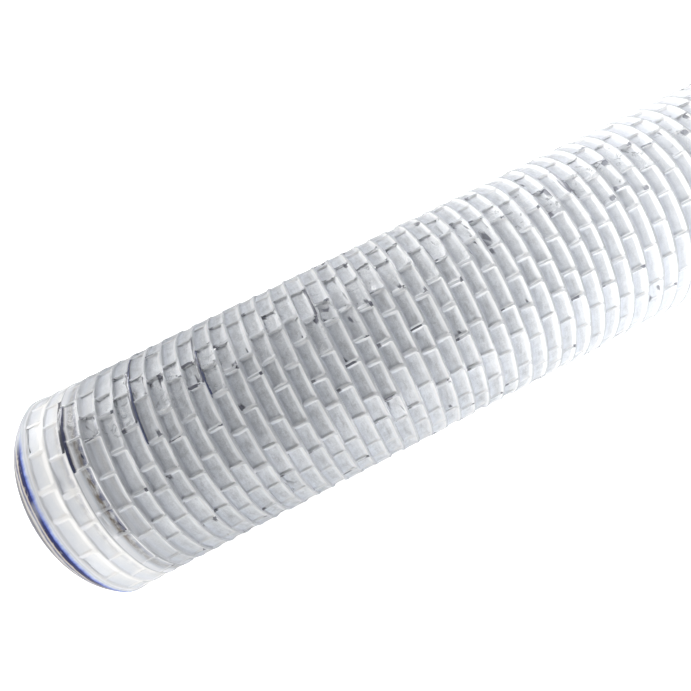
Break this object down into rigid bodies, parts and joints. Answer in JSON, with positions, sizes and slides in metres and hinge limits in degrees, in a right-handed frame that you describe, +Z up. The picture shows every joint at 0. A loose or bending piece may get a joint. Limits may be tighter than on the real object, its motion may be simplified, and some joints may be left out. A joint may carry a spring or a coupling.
{
  "type": "clay texture roller",
  "caption": "Clear acrylic rod engraved all round with a brick bond, rolled over soft clay to press a brick wall pattern into it.",
  "frame": {"origin": "straight below the middle of the rod's axis, on the flat surface that the rod lies on", "axes": "+X along the rod's axis, +Z up from the surface, +Y across the rod"},
  "size_m": [0.1, 0.025, 0.025],
  "materials": {
    "clear_acrylic": "satin"
  },
  "bodies": {
    "root": {"roller_rod": "clear_acrylic"}
  },
  "joints": []
}
